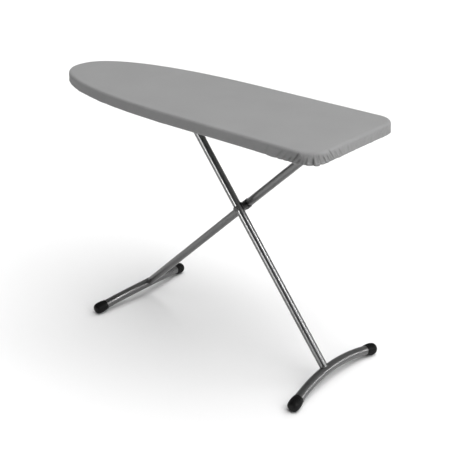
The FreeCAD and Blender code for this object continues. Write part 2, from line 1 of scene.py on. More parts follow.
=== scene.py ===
# %% [markdown]
# # A folding ironing board, dressed in cloth, steel and rubber
# The board is a pad and a sheet of perforated steel inside a gathered cotton cover. It stands on two
# round steel legs that cross in an X, and each leg ends in a bent foot with a rubber cap on each tip.
# The measured parts come from the CAD model. This lesson gives them their finishes, and it makes again
# the soft and moulded pieces that a CAD solid can't show: cover, pad, seams, caps, welds and grip.
# Everything is in metres. X runs along the board to the square heel, Y goes across it and Z is up.

import json
import math
import random

import bmesh
import bpy
import numpy as np
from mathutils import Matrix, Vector, geometry

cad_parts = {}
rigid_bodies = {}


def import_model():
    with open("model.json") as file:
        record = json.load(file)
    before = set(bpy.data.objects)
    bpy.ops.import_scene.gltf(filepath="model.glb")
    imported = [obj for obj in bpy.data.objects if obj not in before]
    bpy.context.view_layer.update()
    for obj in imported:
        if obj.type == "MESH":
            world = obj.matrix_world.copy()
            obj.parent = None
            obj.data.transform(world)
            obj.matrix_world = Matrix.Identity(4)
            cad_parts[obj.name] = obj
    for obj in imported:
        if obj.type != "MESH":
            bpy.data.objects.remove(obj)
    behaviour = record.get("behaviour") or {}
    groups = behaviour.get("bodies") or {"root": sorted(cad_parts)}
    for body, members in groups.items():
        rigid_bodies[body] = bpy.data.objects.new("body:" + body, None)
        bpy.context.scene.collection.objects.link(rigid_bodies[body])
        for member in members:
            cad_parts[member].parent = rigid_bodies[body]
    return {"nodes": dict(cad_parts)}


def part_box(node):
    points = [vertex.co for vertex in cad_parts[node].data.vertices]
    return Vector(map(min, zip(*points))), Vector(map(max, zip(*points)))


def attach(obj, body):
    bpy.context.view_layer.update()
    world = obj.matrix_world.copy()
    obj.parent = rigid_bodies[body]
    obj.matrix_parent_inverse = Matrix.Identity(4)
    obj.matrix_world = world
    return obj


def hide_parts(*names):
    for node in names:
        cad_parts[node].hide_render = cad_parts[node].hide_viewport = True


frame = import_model()
for spare in list(bpy.context.scene.objects):
    if spare.type != "EMPTY" and spare.name not in frame["nodes"]:
        bpy.data.objects.remove(spare)
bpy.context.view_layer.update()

# %% [markdown]
# ## Writing nodes as sums
# A finish is a tree of nodes, and so is a Geometry Nodes pattern. Both could be wired by hand, link by
# link, but a long chain of Math nodes is hard to read back. Here one small class wraps a socket, so that
# `1 - mask * 0.3` adds the two Math nodes by itself, and one method adds any other node.

# %% A socket that can be added and multiplied
class Wire:
    """A node's output. Sums written on it add Math nodes to its tree."""

    def __init__(self, tree, socket):
        self.tree = tree
        self.socket = socket

    def maths(self, operation, *values):
        return self.tree.node("ShaderNodeMath", {"operation": operation}, dict(enumerate(values)))

    def __add__(self, other):
        return self.maths("ADD", self, other)

    def __radd__(self, other):
        return self.maths("ADD", other, self)

    def __sub__(self, other):
        return self.maths("SUBTRACT", self, other)

    def __rsub__(self, other):
        return self.maths("SUBTRACT", other, self)

    def __mul__(self, other):
        return self.maths("MULTIPLY", self, other)

    def __rmul__(self, other):
        return self.maths("MULTIPLY", other, self)

    def sine(self):
        return self.maths("SINE", self)

    def size(self):
        return self.maths("ABSOLUTE", self)

    def above(self, limit):
        return self.maths("GREATER_THAN", self, limit)

    def ramp(self, low, high, to_low=0.0, to_high=1.0):
        """This value's place between low and high, as a number between to_low and to_high."""
        sockets = {"Value": self, "From Min": low, "From Max": high, "To Min": to_low, "To Max": to_high}
        return self.tree.node("ShaderNodeMapRange", {}, sockets)

    def part(self, axis):
        """One number of a vector: 0, 1 or 2."""
        return self.tree.node("ShaderNodeSeparateXYZ", {}, {0: self}, out=axis)


# %% A tree that takes any node in one line
class Tree:
    """A node tree that is built one expression at a time."""

    def __init__(self, tree):
        self.tree = tree

    def feed(self, socket, value):
        if isinstance(value, Wire):
            self.tree.links.new(value.socket, socket)
        else:
            socket.default_value = value

    def node(self, kind, settings, sockets, out=0):
        """Adds a node: its settings first, then the value or link of each socket."""
        made = self.tree.nodes.new(kind)
        for name, value in settings.items():
            setattr(made, name, value)
        for name, value in sockets.items():
            self.feed(made.inputs[name], value)
        return Wire(self, made.outputs[out])


class Finish(Tree):
    """A material round one Principled shader, whose even values are set on its own sockets."""

    def __init__(self, name, **even):
        self.material = bpy.data.materials.new(name)
        self.material.use_nodes = True
        super().__init__(self.material.node_tree)
        self.shader = self.tree.nodes["Principled BSDF"]
        for socket, value in even.items():
            self.shader.inputs[socket.replace("_", " ")].default_value = value

    def paint(self, socket, value):
        self.feed(self.shader.inputs[socket], value)

    def place(self, turn=(0, 0, 0), stretch=(1, 1, 1)):
        """Object coordinates, turned and stretched."""
        where = self.node("ShaderNodeTexCoord", {}, {}, out=3)
        return self.node("ShaderNodeMapping", {}, {"Vector": where, "Rotation": turn, "Scale": stretch})

    def noise(self, where, scale, detail=2.0):
        return self.node("ShaderNodeTexNoise", {}, {"Vector": where, "Scale": scale, "Detail": detail})

    def blend(self, share, first, second):
        """A colour between two greys or colours."""
        sockets = {0: share, 6: grey(first), 7: grey(second)}
        return self.node("ShaderNodeMix", {"data_type": "RGBA"}, sockets, out=2)

    def bump(self, height, depth, strength=1.0):
        sockets = {"Height": height, "Distance": depth, "Strength": strength}
        self.paint("Normal", self.node("ShaderNodeBump", {}, sockets))


def grey(shade):
    """A plain grey from one number, or a colour or link as it is."""
    if isinstance(shade, (int, float)):
        return (shade, shade, shade, 1.0)
    return shade


print("node helpers ready")

# %% [markdown]
# ## Cotton for the cover
# The cover is a plain-woven cotton, over and under by turns, in light grey. The weave could be an
# image, but an image can't be followed through the gathers. Each point of the cloth carries its place
# in the flat cut instead, as the map `cut`, and two sets of waves on that map give the threads. Little
# light gets down into a sharp crease, so the cloth also carries the value `crease_shade`: painted shade
# that darkens the cloth's colour along each crease.

# %% Woven cotton
thread_pitch = 0.0011
cloth_shade = 0.230


def weave(finish, pitch):
    """How high the threads stand, from the place in the flat cut: one set over the other by turns."""
    cut = finish.node("ShaderNodeUVMap", {"uv_map": "cut"}, {})
    warp = (cut.part(0) * (math.pi / pitch)).sine()
    weft = (cut.part(1) * (math.pi / pitch)).sine()
    over = (warp * weft).above(0.0)
    return over * warp.size() + (1 - over) * weft.size()


def make_cotton():
    cotton = Finish("woven_cotton", Roughness=0.92, Sheen_Weight=0.12, Sheen_Roughness=0.6)
    threads = weave(cotton, thread_pitch)
    clouds = cotton.noise(cotton.place(), 7.0, 3.0)
    slubs = cotton.noise(cotton.place(stretch=(1, 6, 1)), 70.0, 2.0)
    shade = 0.55 * clouds + 0.25 * slubs + 0.2 * threads
    cloth = cotton.blend(shade, cloth_shade * 0.86, cloth_shade * 1.14)
    # Painted shade: the cloth's colour goes towards a dark grey where the value crease_shade is high.
    crease_shade = cotton.node("ShaderNodeAttribute", {"attribute_name": "crease_shade"}, {}, out=2)
    cotton.paint("Base Color", cotton.blend(crease_shade, cloth, cloth_shade * 0.15))
    cotton.bump(threads + 1.5 * clouds, 0.00012, 0.5)
    return cotton.material


cotton = make_cotton()
print("cotton with", len(cotton.node_tree.nodes), "nodes")

# %% [markdown]
# ## Felt, elastic and thread
# Under the cover lies a pale needle felt, a mat of loose fibres. The hem is drawn in by a flat ribbed
# elastic. Both are hidden from above, but they show from below and through the holes of the deck. The
# thread of the seams is smooth and a little lighter than the cloth.

# %% Soft finishes
def make_felt():
    felt = Finish("needle_felt", Roughness=0.97, Sheen_Weight=0.2)
    fibres = felt.noise(felt.place(stretch=(1, 2.5, 1)), 420.0, 4.0)
    felt.paint("Base Color", felt.blend(fibres, (0.50, 0.49, 0.46, 1), (0.68, 0.67, 0.64, 1)))
    felt.bump(fibres, 0.0006, 0.6)
    return felt.material


def make_elastic():
    elastic = Finish("ribbed_elastic", Roughness=0.8)
    ribs = (elastic.place().part(2) * 5200.0).sine().size()
    elastic.paint("Base Color", elastic.blend(ribs, 0.42, 0.6))
    elastic.bump(ribs, 0.0002, 0.6)
    return elastic.material


def make_thread():
    thread = Finish("seam_thread", Roughness=0.6)
    twist = thread.noise(thread.place(), 900.0)
    thread.paint("Base Color", thread.blend(twist, 0.36, 0.46))
    return thread.material


felt = make_felt()
elastic = make_elastic()
thread = make_thread()
print("felt, elastic and thread made")

# %% [markdown]
# ## Steel, painted and bare
# The legs are drawn steel tube with a dark, satin coat that still shows the brushing along the tube.
# A brushed look could come from the shader's anisotropy. A noise that is stretched along the tube does
# it more simply and is kept by the export: it changes the roughness in long streaks. Each leg leans at
# its own angle, so the streaks are turned to match. The frame has a plain powder coat with a fine
# orange-peel skin, and so have the fittings at the crossing. Other small steel parts are zinc-plated.

# %% Metal finishes
def make_satin_tube(name, turn, stretch, low, high):
    """Dark satin steel with brushing along the tube, between two shades."""
    tube = Finish(name, Metallic=0.92, Coat_Weight=0.0)
    streaks = tube.noise(tube.place(turn, stretch), 900.0, 3.0)
    patches = tube.noise(tube.place(), 16.0, 3.0)
    tube.paint("Base Color", tube.blend(0.5 * streaks + 0.5 * patches, low, high))
    tube.paint("Roughness", streaks.ramp(0.3, 0.7, 0.24, 0.33) + patches.ramp(0.35, 0.7, 0.0, 0.05))
    tube.bump(streaks, 0.00002, 0.35)
    return tube.material


def make_powder_coat():
    coat = Finish("powder_coat", Specular_IOR_Level=0.5, Coat_Weight=0.05)
    skin = coat.noise(coat.place(), 700.0, 2.0)
    patches = coat.noise(coat.place(), 22.0, 3.0)
    coat.paint("Base Color", coat.blend(patches, 0.075, 0.105))
    coat.paint("Roughness", patches.ramp(0.3, 0.7, 0.42, 0.55))
    coat.bump(skin, 0.00008, 0.5)
    return coat.material


def make_zinc():
    zinc = Finish("zinc_plate", Metallic=1.0)
    crystals = zinc.noise(zinc.place(), 260.0, 3.0)
    zinc.paint("Base Color", zinc.blend(crystals, 0.52, 0.68))
    zinc.paint("Roughness", crystals.ramp(0.3, 0.7, 0.26, 0.42))
    return zinc.material


sliding_slope = math.radians(51.1)
pivot_slope = math.radians(43.7)
along_streaks = (0.02, 1.0, 1.0)
sliding_steel = make_satin_tube("satin_tube_sliding_leg", (0, -sliding_slope, 0), along_streaks, 0.13, 0.21)
pivot_steel = make_satin_tube("satin_tube_pivot_leg", (0, pivot_slope, 0), along_streaks, 0.13, 0.20)
foot_steel = make_satin_tube("satin_tube_feet", (0, 0, 0), (1.0, 0.02, 1.0), 0.11, 0.18)
powder_coat = make_powder_coat()
zinc = make_zinc()
print("satin tube, powder coat and zinc made")

# %% [markdown]
# ## Rubber and plastic
# The foot caps are soft black rubber that gathers a little dust near the floor. The saddles, spacers,
# rod caps and the lever's grip are moulded in black plastic with a finely spark-eroded skin, which
# scatters the light in small grains.

# %% Moulded finishes
def make_rubber():
    rubber = Finish("cap_rubber", Specular_IOR_Level=0.14)
    grain = rubber.noise(rubber.place(), 1300.0, 2.0)
    dust = rubber.place().part(2).ramp(0.0, 0.012, 1.0, 0.0) * rubber.noise(rubber.place(), 120.0, 3.0)
    rubber.paint("Base Color", rubber.blend(dust, 0.004, 0.025))
    rubber.paint("Roughness", 0.46 + 0.3 * dust)
    rubber.bump(grain, 0.00006, 0.4)
    return rubber.material


def make_plastic():
    plastic = Finish("moulded_plastic", Specular_IOR_Level=0.28)
    grain = plastic.noise(plastic.place(), 1700.0, 1.0)
    plastic.paint("Base Color", plastic.blend(grain, 0.005, 0.010))
    plastic.paint("Roughness", grain.ramp(0.3, 0.7, 0.36, 0.5))
    plastic.bump(grain, 0.00005, 0.4)
    return plastic.material


rubber = make_rubber()
plastic = make_plastic()
print("rubber and plastic made")

# %% [markdown]
# ## Finishes on the CAD parts
# Each CAD part names the slot that it takes its finish from. Changing the parts one by one would miss
# some, so one table goes from slot to finish. A second table is for single parts: the two leg tubes are
# brushed in their own directions, and the fittings at the crossing are coated black, not bright.

# %% Dress the CAD parts
finish_of_slot = {
    "cover_cloth": cotton,
    "elastic": elastic,
    "padding": felt,
    "frame_steel": powder_coat,
    "leg_steel": foot_steel,
    "bright_steel": zinc,
    "cap_rubber": rubber,
    "black_plastic": plastic,
}
finish_of_part = {
    "sliding_leg_tube": sliding_steel,
    "pivot_leg_tube": pivot_steel,
    "centre_bolt": powder_coat,
    "lock_nut": powder_coat,
    "pivot_leg_outer_saddle": powder_coat,
    "sliding_leg_outer_saddle": powder_coat,
}
for name, node in frame["nodes"].items():
    slot_name = node.material_slots[0].material.name
    node.material_slots[0].material = finish_of_part.get(name, finish_of_slot[slot_name])
print("dressed", len(frame["nodes"]), "CAD parts")

# %% [markdown]
# ## The outline of the board
# Every soft layer of the board has the same outline: a full, rounded nose, straight sides and a square
# heel with round corners. The nose is a superellipse, an oval with a fuller curve. The outline is
# walked once as many short steps, each with its outward direction, and any layer is then that line
# moved in or out. The steps are short where the cloth will be gathered and long where it lies straight.

# %% Walk round the outline
board_length = 1.240
board_width = 0.434
nose_length = 0.697
nose_fullness = 2.29
corner_radius = 0.063
top_height = 0.870
fine_step = 0.0005


def near_side():
    """The near half of the outline in order, from the tip of the nose to the middle of the heel."""
    half_length = board_length / 2
    half_width = board_width / 2
    turns = np.linspace(0, math.pi / 2, 900)
    along = 1 - np.cos(turns) ** (2 / nose_fullness)
    across = np.sin(turns) ** (2 / nose_fullness)
    nose = np.column_stack((-half_length + nose_length * along, -half_width * across))
    angles = np.linspace(-math.pi / 2, 0, 90)
    middle = np.array([half_length - corner_radius, corner_radius - half_width])
    corner = middle + corner_radius * np.column_stack((np.cos(angles), np.sin(angles)))
    return np.vstack((nose, corner, [[half_length, 0.0]]))


def evenly(points, step):
    """A closed line of points at even steps."""
    closed = np.vstack((points, points[:1]))
    travelled = np.concatenate(([0], np.cumsum(np.linalg.norm(np.diff(closed, axis=0), axis=1))))
    places = np.linspace(0, travelled[-1], round(travelled[-1] / step), endpoint=False)
    return np.column_stack([np.interp(places, travelled, closed[:, axis]) for axis in (0, 1)])


half = near_side()
fine_line = evenly(np.vstack((half, half[1:-1][::-1] * (1, -1))), fine_step)
print("outline", round(len(fine_line) * fine_step, 3), "m round")

# %% How sharply the outline bends, and the steps along it
def smooth(values, reach):
    """A running mean round a closed line, done twice."""
    kernel = np.ones(2 * reach + 1) / (2 * reach + 1)
    for _ in range(2):
        values = np.convolve(np.concatenate((values[-reach:], values, values[:reach])), kernel, "valid")
    return values


ahead = np.roll(fine_line, -4, axis=0) - np.roll(fine_line, 4, axis=0)
ahead /= np.linalg.norm(ahead, axis=1)[:, None]
fine_out = np.column_stack((ahead[:, 1], -ahead[:, 0]))
later, sooner = np.roll(ahead, -4, axis=0), np.roll(ahead, 4, axis=0)
turned = sooner[:, 0] * later[:, 1] - sooner[:, 1] * later[:, 0]
fine_bend = smooth(turned / (8 * fine_step), 40)
heel_start = 0.40
heel_zone = smooth(np.clip((fine_line[:, 0] - heel_start) / 0.14, 0, 1), 60)
gathering = smooth(np.clip(np.maximum(fine_bend / 16, 0.75 * heel_zone), 0, 1), 60)
column_step = 0.0042 - 0.0026 * gathering
columns_passed = np.cumsum(fine_step / column_step)
column_count = round(columns_passed[-1])
picks = np.searchsorted(columns_passed, (np.arange(column_count) + 0.5) * columns_passed[-1] / column_count)
line, out, bend, near_heel = fine_line[picks], fine_out[picks], fine_bend[picks], heel_zone[picks]
print("columns", column_count, "bend from", round(bend.min(), 2), "to", round(bend.max(), 2), "per metre")

# %% [markdown]
# ## The cover's section
# The cover lies flat on the pad, rounds the edge, hangs down the side and turns in under the rim. Cut
# flat it is one large piece, and the further out a point lies in the cut, the more cloth there is for
# the same stretch of board. At a corner that extra cloth has nowhere to go and stands up in gathers.
# Both shapes are written here from the same steps: the section on the board, and the flat cut.

# %% Section rings and the flat cut
flat_inset = 0.040
edge_round = 0.009
hem_round = 0.003
skirt_base = 0.833
lip_inset = 0.019
ring_step = 0.003


def section_place(run):
    """Inset, height and outward direction (out, up) of the cover's skin, that far from the flat inset."""
    flat_run = flat_inset - edge_round
    edge_run = edge_round * math.pi / 2
    side_run = top_height - edge_round - skirt_base - hem_round
    hem_run = hem_round * math.pi / 2
    if run < flat_run:
        return flat_inset - run, top_height, 0.0, 1.0
    run -= flat_run
    if run < edge_run:
        angle = run / edge_round
        inset = edge_round * (1 - math.sin(angle))
        return inset, top_height - edge_round * (1 - math.cos(angle)), math.sin(angle), math.cos(angle)
    run -= edge_run
    if run < side_run:
        return 0.0, top_height - edge_round - run, 1.0, 0.0
    run -= side_run
    if run < hem_run:
        angle = run / hem_round
        inset = hem_round * (1 - math.cos(angle))
        return inset, skirt_base + hem_round * (1 - math.sin(angle)), math.cos(angle), -math.sin(angle)
    return hem_round + run - hem_run, skirt_base, 0.0, -1.0


section_length = (
    flat_inset - edge_round + edge_round * math.pi / 2
    + top_height - edge_round - skirt_base - hem_round
    + hem_round * math.pi / 2 + lip_inset - hem_round
)
runs = np.linspace(0, section_length, round(section_length / ring_step) + 1)
section = [section_place(run) for run in runs]
cut_reach = section_length - flat_inset
cut_edge = line + out * cut_reach
next_x, next_y = np.roll(cut_edge, -1, axis=0).T
cut_area = 0.5 * abs(np.sum(cut_edge[:, 0] * next_y - next_x * cut_edge[:, 1]))
print("rings", len(runs), "section", round(section_length, 4))
print("cut edge beyond the outline", round(cut_reach, 4))
print("flat cut", np.ptp(cut_edge, axis=0).round(4), "m, area", round(cut_area, 4))

# %% [markdown]
# ## Where the gathers stand
# Gathers are never even. They are laid out from one seed as folds of changing width: about 13 mm round
# the square heel, wider round the nose and wide and faint along the sides. A fold has a broad back and a
# sharp valley. Its height follows from the cloth that has to be taken up there, which is the length in
# the flat cut over the length on the board, and from how hard the elastic pulls, which is most round the
# heel's corners. The folds fan out from each of those corners, and each starts at a height of its own.
# The far corner and the nose are pulled flatter than the near corner, as the elastic is tighter there.

# %% Lay out the folds
corner_fold = 0.0130
side_fold = 0.050
side_ease = 0.0006
heel_ease = 0.010
corner_ease = 0.22
corner_pull = (1.0, 0.12)
nose_pull = 0.10
corner_reach = 0.105
fan_lean = 0.60
fan_depth = 1.6
back_breadth = 2.2
pull_start, pull_run = 0.40, 0.40
# Painted shade in the creases: its half width, how fast it rises and its share round the heel.
crease_shade_halfwidth = 0.0050
crease_shade_run = 0.10
heel_crease_shade = 0.12
lip_share = 0.3


def fold_edges(rng):
    """Where each fold starts, as distances along the outline."""
    edges = [0.0]
    length = len(fine_line) * fine_step
    while edges[-1] < length:
        tight = gathering[min(int(edges[-1] / fine_step), len(gathering) - 1)]
        width = corner_fold + (side_fold - corner_fold) * (1 - tight) ** 3
        edges.append(edges[-1] + width * rng.uniform(0.5, 1.7))
    return np.array(edges) * length / edges[-1]


rng = random.Random(11)
edges = fold_edges(rng)
fold_strength = np.array([rng.uniform(0.35, 1.20) for _ in edges])
# Each valley's painted shade: how dark it goes and at what height it starts.
valley_shade_depth = np.array([rng.uniform(0.35, 1.0) for _ in edges])
valley_shade_start = np.array([rng.uniform(0.36, 0.60) for _ in edges])
distance = picks * fine_step
corner_places = [int(np.argmax(fine_line @ (1, side))) * fine_step for side in (-1, 1)]
from_corner = distance[:, None] - np.array(corner_places)
corner_share = np.exp(-((from_corner / corner_reach) ** 2))
near_corner = (corner_share * corner_pull).max(axis=1)
away = (from_corner * corner_share).sum(axis=1)
ease = side_ease + heel_ease * near_heel + corner_ease * near_corner
held_loose = 1 - (1 - corner_pull[1]) * corner_share[:, 1]
held_loose *= nose_pull + (1 - nose_pull) * near_heel
print("folds", len(edges) - 1, "narrowest", round(1000 * np.diff(edges).min(), 1), "mm")


def fold_height(run, inset):
    """How far each column stands out at one ring, and how much painted shade it takes in a crease."""
    surplus = (1 + bend * (run - flat_inset)) / (1 - bend * inset) - 1
    below_edge = (run - flat_inset) / cut_reach
    place = distance + fan_lean * away * np.clip(1 - fan_depth * below_edge, 0, 1)
    fold = np.clip(np.searchsorted(edges, place, "right") - 1, 0, len(edges) - 2)
    width = edges[fold + 1] - edges[fold]
    share = (place - edges[fold]) / width
    wave = 1 - (1 - np.abs(np.sin(math.pi * share))) ** back_breadth
    valley = np.where(share > 0.5, fold + 1, fold)
    pull = np.clip((run / section_length - pull_start) / pull_run, 0, 1)
    taken_up = np.sqrt(np.clip(surplus * held_loose, 0, None) + ease * pull)
    stand = 2 / math.pi * width * (1 - bend * inset) * taken_up * fold_strength[fold] * wave
    # Painted shade: a dark line along each valley, rising from its own start and strongest near the
    # corners.
    into_valley = np.clip(1 - np.abs(place - edges[valley]) / crease_shade_halfwidth, 0, 1)
    rise = np.clip((run / section_length - valley_shade_start[valley]) / crease_shade_run, 0, 1)
    tight = np.clip(near_corner + heel_crease_shade * near_heel, 0, 1)
    return stand, into_valley * rise * valley_shade_depth[valley] * tight


# %% Points of the cover, on the board and in the cut
def ring_points(run):
    inset, height, outwards, upwards = section_place(run)
    stand, crease_shade = fold_height(run, inset)
    flat = line - out * inset + out * (stand * outwards)[:, None]
    # The fourth number is the painted shade of the crease at each point.
    return np.column_stack((flat, height + lip_share * stand * upwards, crease_shade))


def middle_points(step):
    """A staggered grid inside the first ring."""
    inner = line - out * flat_inset
    rows = np.arange(inner[:, 1].min(), inner[:, 1].max(), step)
    found = []
    for number, y in enumerate(rows):
        for x in np.arange(inner[:, 0].min() + (number % 2) * step / 2, inner[:, 0].max(), step):
            gaps = np.hypot(inner[:, 0] - x, inner[:, 1] - y)
            nearest = gaps.argmin()
            inside = (np.array([x, y]) - inner[nearest]) @ out[nearest] < 0
            if inside and gaps[nearest] > step * 0.6:
                found.append((x, y))
    return np.array(found)


rings = [ring_points(run) for run in runs]
cut_rings = [line + out * (run - flat_inset) for run in runs]
middle_step = 0.014
middle = middle_points(middle_step)
top = np.column_stack((middle, np.full(len(middle), top_height), np.zeros(len(middle))))
cover_points, cover_crease_shade = np.split(np.vstack(rings + [top]), [3], axis=1)
cut_points = np.vstack(cut_rings + [middle])
print("cover points", len(cover_points), "of which in the middle", len(middle))

# %% Faces of the cover
def cover_faces():
    """Quads between the rings, and triangles over the middle."""
    ring_count = len(runs)
    columns = np.arange(column_count)
    following = (columns + 1) % column_count
    faces = []
    for ring in range(ring_count - 1):
        low, high = ring * column_count, (ring + 1) * column_count
        quads = (low + columns, high + columns, high + following, low + following)
        faces += np.column_stack(quads).tolist()
    flat = [Vector(p) for p in np.vstack((cut_rings[0], middle))]
    loop = [(int(a), int(b)) for a, b in zip(columns, following)]
    made = geometry.delaunay_2d_cdt(flat, loop, [], 1, 1e-7)
    ring_points_end = ring_count * column_count
    index = list(range(column_count)) + list(range(ring_points_end, ring_points_end + len(middle)))
    original = [index[names[0]] for names in made[3]]
    faces += [[original[corner] for corner in face] for face in made[2]]
    return faces


def mesh_piece(name, points, faces, finish):
    """A shaded piece from points and faces."""
    mesh = bpy.data.meshes.new(name)
    mesh.from_pydata([tuple(map(float, p)) for p in points], [], faces)
    mesh.materials.append(finish)
    mesh.shade_smooth()
    piece = bpy.data.objects.new(name, mesh)
    bpy.context.scene.collection.objects.link(piece)
    return piece


cover = mesh_piece("gathered_cover", cover_points, cover_faces(), cotton)
cut_map = cover.data.uv_layers.new(name="cut")
corners = np.array([loop.vertex_index for loop in cover.data.loops])
cut_map.data.foreach_set("uv", cut_points[corners].astype(np.float32).ravel())
# The painted shade of the creases goes with each point, for the cotton to darken its colour there.
crease_shade_value = cover.data.attributes.new("crease_shade", "FLOAT", "POINT")
crease_shade_value.data.foreach_set("value", cover_crease_shade.astype(np.float32).ravel())
print("cover faces", len(cover.data.polygons))

# %% [markdown]
# ## Letting the cloth settle
# The folds so far are drawn. Real ones share out the cloth between them, lean, and fade towards the
# edge. Blender's cloth solver does that: it is told that the cloth's own lengths are those of the flat
# cut, so every edge that is squeezed on the board tries to open. The middle of the top and the hem's
# inner edge are held, as by the pad and the elastic, and a plain core keeps the folds outside the rim.
# The solver runs for a few frames only, so the drawn folds ease but stay. Next to the held rings the
# settled shape fades in over a few more, so that no ridge shows.

# %% Core that the cloth lies on
core_gap = 0.0018
held_rings = 8
fade_rings = 5


def core_mesh():
    """The board's plain shape, a little inside the cover."""
    points = []
    for run in runs:
        inset, height, outwards, upwards = section_place(run)
        flat = line - out * (inset + core_gap * outwards)
        points.append(np.column_stack((flat, np.full(column_count, height - core_gap * upwards))))
    faces = [face for face in cover_faces() if max(face) < len(runs) * column_count]
    return mesh_piece("cloth_core", np.vstack(points), faces, cotton)


def hold(piece):
    """The points that don't move, and how firmly."""
    group = piece.vertex_groups.new(name="held")
    ring_of_point = np.arange(len(cover_points)) // column_count
    still = np.flatnonzero((ring_of_point < held_rings) | (ring_of_point >= len(runs)))
    group.add([int(i) for i in still], 1.0, "REPLACE")
    hem = np.flatnonzero(ring_of_point == len(runs) - 1)
    group.add([int(i) for i in hem], 0.9, "REPLACE")
    return group.name


# %% Settle
cloth_nature = {
    "quality": 6,
    "shrink_min": 0.008,
    "mass": 0.15,
    "tension_stiffness": 20,
    "compression_stiffness": 6,
    "shear_stiffness": 4,
    "bending_stiffness": 0.01,
    "tension_damping": 10,
    "compression_damping": 10,
    "air_damping": 5,
    "pin_stiffness": 20,
}
contact_distance = 0.001
settling_frames = 10


def settle(piece, core, frames):
    """Runs the cloth solver on the piece and keeps the shape it ends in."""
    piece.shape_key_add(name="board")
    cut_key = piece.shape_key_add(name="cut")
    flat = np.column_stack((cut_points, np.full(len(cut_points), top_height)))
    cut_key.data.foreach_set("co", flat.astype(np.float32).ravel())
    core.modifiers.new("core", "COLLISION")
    core.collision.thickness_outer = contact_distance
    core.collision.cloth_friction = 8
    cloth = piece.modifiers.new("cloth", "CLOTH")
    cloth.settings.vertex_group_mass = hold(piece)
    cloth.settings.rest_shape_key = cut_key
    for setting, value in cloth_nature.items():
        setattr(cloth.settings, setting, value)
    cloth.collision_settings.distance_min = contact_distance
    cloth.collision_settings.collision_quality = 2
    cloth.point_cache.frame_end = frames
    for frame_number in range(1, frames + 1):
        bpy.context.scene.frame_set(frame_number)
    settled = piece.evaluated_get(bpy.context.evaluated_depsgraph_get())
    moved = np.empty(len(cover_points) * 3, np.float32)
    settled.data.vertices.foreach_get("co", moved)
    piece.modifiers.remove(cloth)
    piece.shape_key_clear()
    ring_of_point = np.arange(len(cover_points)) // column_count
    faded = np.clip((ring_of_point - held_rings + 1) / fade_rings, 0, 1)
    free = np.where(ring_of_point < len(runs), faded, 0)[:, None]
    return cover_points + free * (moved.reshape(-1, 3) - cover_points)


# %% Dress the board with the cover
core = core_mesh()
cover_points = settle(cover, core, settling_frames)
bpy.data.objects.remove(core)
cover.data.vertices.foreach_set("co", cover_points.astype(np.float32).ravel())
cover.data.update()
cloth_thickness = 0.0012
wall = cover.modifiers.new("cloth_thickness", "SOLIDIFY")
wall.thickness = cloth_thickness
wall.offset = -1
print("cover reaches", cover_points.min(axis=0).round(4), cover_points.max(axis=0).round(4))

# %% [markdown]
# ## The pad
# The pad is needle felt, cut to the same outline. A plain slab would do where it is hidden, but its edge
# shows at the rim and its face shows through the holes of the deck, so it gets soft, rounded edges. It
# is one closed skin: a row of rings over the top, round the edge and back underneath.

# %% Make the pad
pad_base = 0.8628
pad_crown = 0.8682
pad_round = 0.0062
pad_edge_inset = 0.0082
pad_insets = (0.060, 0.030)


def pad_rings():
    """Inset and height of each ring of the pad, from the top's middle round to the base's."""
    top = [(inset, pad_crown) for inset in (*pad_insets, pad_edge_inset)]
    angles = [math.radians(angle) for angle in (18, 36, 54, 70)]
    edge = [
        (pad_edge_inset - pad_round * math.sin(angle), pad_crown - pad_round * (1 - math.cos(angle)))
        for angle in angles
    ]
    base_insets = (pad_edge_inset - 0.96 * pad_round, *pad_insets[::-1])
    return top + edge + [(inset, pad_base) for inset in base_insets]


def ring_faces(ring_count, around):
    """Quads between closed rings, and one face over each end."""
    steps = np.arange(around)
    after = (steps + 1) % around
    faces = []
    for ring in range(ring_count - 1):
        low, high = ring * around, (ring + 1) * around
        faces += np.column_stack((low + steps, high + steps, high + after, low + after)).tolist()
    first = steps.tolist()
    last = ((ring_count - 1) * around + steps)[::-1].tolist()
    return faces + [first, last]


pad_levels = pad_rings()
pad_line, pad_out = line[::3], out[::3]
pad_points = np.vstack([
    np.column_stack((pad_line - pad_out * inset, np.full(len(pad_line), height)))
    for inset, height in pad_levels
])
pad = mesh_piece("felt_pad", pad_points, ring_faces(len(pad_levels), len(pad_line)), felt)
print("pad points", len(pad_points))

# %% [markdown]
# ## Patterns that follow a path
# Stitches, weld ripples and ribs repeat one small shape along a line. They could be placed by a loop in
# Python. Geometry Nodes keep the rule in one tree with named sizes, which is easy to change later, and
# the result is turned into a plain mesh because the export can't carry instances.

# %% A pattern with named inputs
class Pattern(Tree):
    """A Geometry Nodes tree from a guide mesh to one realized mesh."""

    kinds = {float: "NodeSocketFloat", int: "NodeSocketInt"}

    def __init__(self, name, **sizes):
        group = bpy.data.node_groups.new(name, "GeometryNodeTree")
        group.interface.new_socket("Guide", in_out="INPUT", socket_type="NodeSocketGeometry")
        group.interface.new_socket("Finish", in_out="INPUT", socket_type="NodeSocketMaterial")
        for label, value in sizes.items():
            made = group.interface.new_socket(label, in_out="INPUT", socket_type=self.kinds[type(value)])
            made.default_value = value
        group.interface.new_socket("Pattern", in_out="OUTPUT", socket_type="NodeSocketGeometry")
        super().__init__(group)
        self.source = group.nodes.new("NodeGroupInput")
        self.end = group.nodes.new("NodeGroupOutput")

    def given(self, label):
        return Wire(self, self.source.outputs[label])

    def repeat(self, points, shape, **placing):
        """Puts the shape on every point, then makes it real, smooth and finished."""
        sockets = {"Points": points, "Instance": shape, **placing}
        copies = self.node("GeometryNodeInstanceOnPoints", {}, sockets)
        real = self.node("GeometryNodeRealizeInstances", {}, {"Geometry": copies})
        smoothed = self.node("GeometryNodeSetShadeSmooth", {}, {"Geometry": real})
        painted = {"Geometry": smoothed, "Material": self.given("Finish")}
        done = self.node("GeometryNodeSetMaterial", {}, painted)
        self.feed(self.end.inputs["Pattern"], done)


